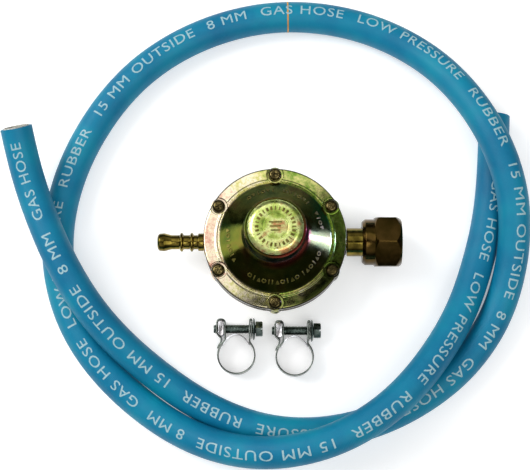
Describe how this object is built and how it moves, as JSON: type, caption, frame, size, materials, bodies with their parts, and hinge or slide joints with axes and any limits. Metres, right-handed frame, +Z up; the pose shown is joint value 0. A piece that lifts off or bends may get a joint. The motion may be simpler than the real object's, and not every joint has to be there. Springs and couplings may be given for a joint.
{
  "type": "propane regulator and hose kit",
  "caption": "Round low pressure gas regulator with hose barb and swivel union nut, bolt type hose clamps and a loose length of blue gas hose.",
  "frame": {"origin": "centre of the regulator's flat base, on the surface that the kit lies on", "axes": "+Z up along the regulator's diaphragm axis, +X along the inlet and out of the union nut, +Y away from the hose clamps"},
  "size_m": [0.2493, 0.2287, 0.0505],
  "materials": {
    "casting": "die casting with iridescent yellow zinc passivation",
    "cap_zinc": "pressed cap with yellow green zinc passivation",
    "turned_zinc": "turned steel with olive yellow zinc passivation",
    "nut_brass": "dull brown brass",
    "inner_brass": "clean turned brass",
    "bright_steel": "bright zinc plated strip",
    "green_steel": "dark green grey zinc plate",
    "screw_bronze": "dark bronze grey zinc plate",
    "rubber_black": "matt black nitrile rubber",
    "hose_rubber": "satin blue rubber with fine cloth texture",
    "adjuster_plastic": "moulded acetal"
  },
  "bodies": {
    "regulator": {"body_casing": "casting", "cover": "casting", "seal_cap": "cap_zinc", "hose_barb": "turned_zinc", "inlet_stem": "turned_zinc", "inlet_seal": "rubber_black", "inlet_filter": "inner_brass", "valve_orifice": "inner_brass", "lever_pin": "bright_steel", "diaphragm": "rubber_black", "calibration_spring": "bright_steel", "spring_adjuster": "adjuster_plastic", "flange_screw_1": "screw_bronze", "flange_screw_2": "screw_bronze", "flange_screw_3": "screw_bronze", "flange_screw_4": "screw_bronze", "flange_screw_5": "screw_bronze", "flange_screw_6": "screw_bronze"},
    "swivel_nut": {"union_nut": "nut_brass"},
    "diaphragm_centre": {"diaphragm_plate": "bright_steel", "diaphragm_stud": "inner_brass"},
    "rocker": {"lever": "bright_steel"},
    "inlet_valve": {"valve_holder": "inner_brass", "valve_pad": "rubber_black"},
    "hose": {"gas_hose": "hose_rubber"},
    "clamp_1": {"clamp_1_band": "bright_steel", "clamp_1_bridge": "bright_steel", "clamp_1_washer": "green_steel"},
    "clamp_1_bolt": {"clamp_1_screw": "green_steel"},
    "clamp_1_trunnion": {"clamp_1_nut": "bright_steel"},
    "clamp_2": {"clamp_2_band": "bright_steel", "clamp_2_bridge": "bright_steel", "clamp_2_washer": "green_steel"},
    "clamp_2_bolt": {"clamp_2_screw": "green_steel"},
    "clamp_2_trunnion": {"clamp_2_nut": "bright_steel"}
  },
  "joints": [
    {"name": "union_nut_spin", "type": "hinge", "parent": "regulator", "child": "swivel_nut", "pos_m": [0.05, 0, 0.015], "axis": [1, 0, 0], "continuous": true},
    {"name": "diaphragm_travel", "type": "slide", "parent": "regulator", "child": "diaphragm_centre", "axis": [0, 0, 1], "range_m": [0, 0.002], "stiffness_N_per_m": 1000, "springref_m": -0.006, "deforming": ["diaphragm", "calibration_spring"]},
    {"name": "lever_rock", "type": "hinge", "parent": "regulator", "child": "rocker", "pos_m": [0.0112, 0, 0.0085], "axis": [0, 1, 0], "range_deg": [0, 10.4]},
    {"name": "valve_slide", "type": "slide", "parent": "regulator", "child": "inlet_valve", "axis": [1, 0, 0], "range_m": [0, 0.0012]},
    {"name": "hose_lift", "type": "slide", "parent": "regulator", "child": "hose", "axis": [0, 0, 1], "range_m": [0, 0.1]},
    {"name": "clamp_1_lift", "type": "slide", "parent": "regulator", "child": "clamp_1", "axis": [0, 0, 1], "range_m": [0, 0.1]},
    {"name": "clamp_1_screw_turn", "type": "hinge", "parent": "clamp_1", "child": "clamp_1_bolt", "pos_m": [-0.0182, -0.04002, 0.00531], "axis": [-1, 0, 0], "range_deg": [0, 1820]},
    {"name": "clamp_1_nut_travel", "type": "slide", "parent": "clamp_1", "child": "clamp_1_trunnion", "axis": [1, 0, 0], "range_m": [0, 0.0035], "deforming": ["clamp_1_band"]},
    {"name": "clamp_2_lift", "type": "slide", "parent": "regulator", "child": "clamp_2", "axis": [0, 0, 1], "range_m": [0, 0.1]},
    {"name": "clamp_2_screw_turn", "type": "hinge", "parent": "clamp_2", "child": "clamp_2_bolt", "pos_m": [0.0093, -0.04082, 0.00531], "axis": [-1, 0, 0], "range_deg": [0, 1820]},
    {"name": "clamp_2_nut_travel", "type": "slide", "parent": "clamp_2", "child": "clamp_2_trunnion", "axis": [1, 0, 0], "range_m": [0, 0.0035], "deforming": ["clamp_2_band"]}
  ],
  "couplings": [
    {"joint": "lever_rock", "follows": "diaphragm_travel", "rad_per_m": 89.29},
    {"joint": "valve_slide", "follows": "diaphragm_travel", "ratio": 0.58},
    {"joint": "clamp_1_screw_turn", "follows": "clamp_1_nut_travel", "rad_per_m": 8976},
    {"joint": "clamp_2_screw_turn", "follows": "clamp_2_nut_travel", "rad_per_m": 8976}
  ]
}
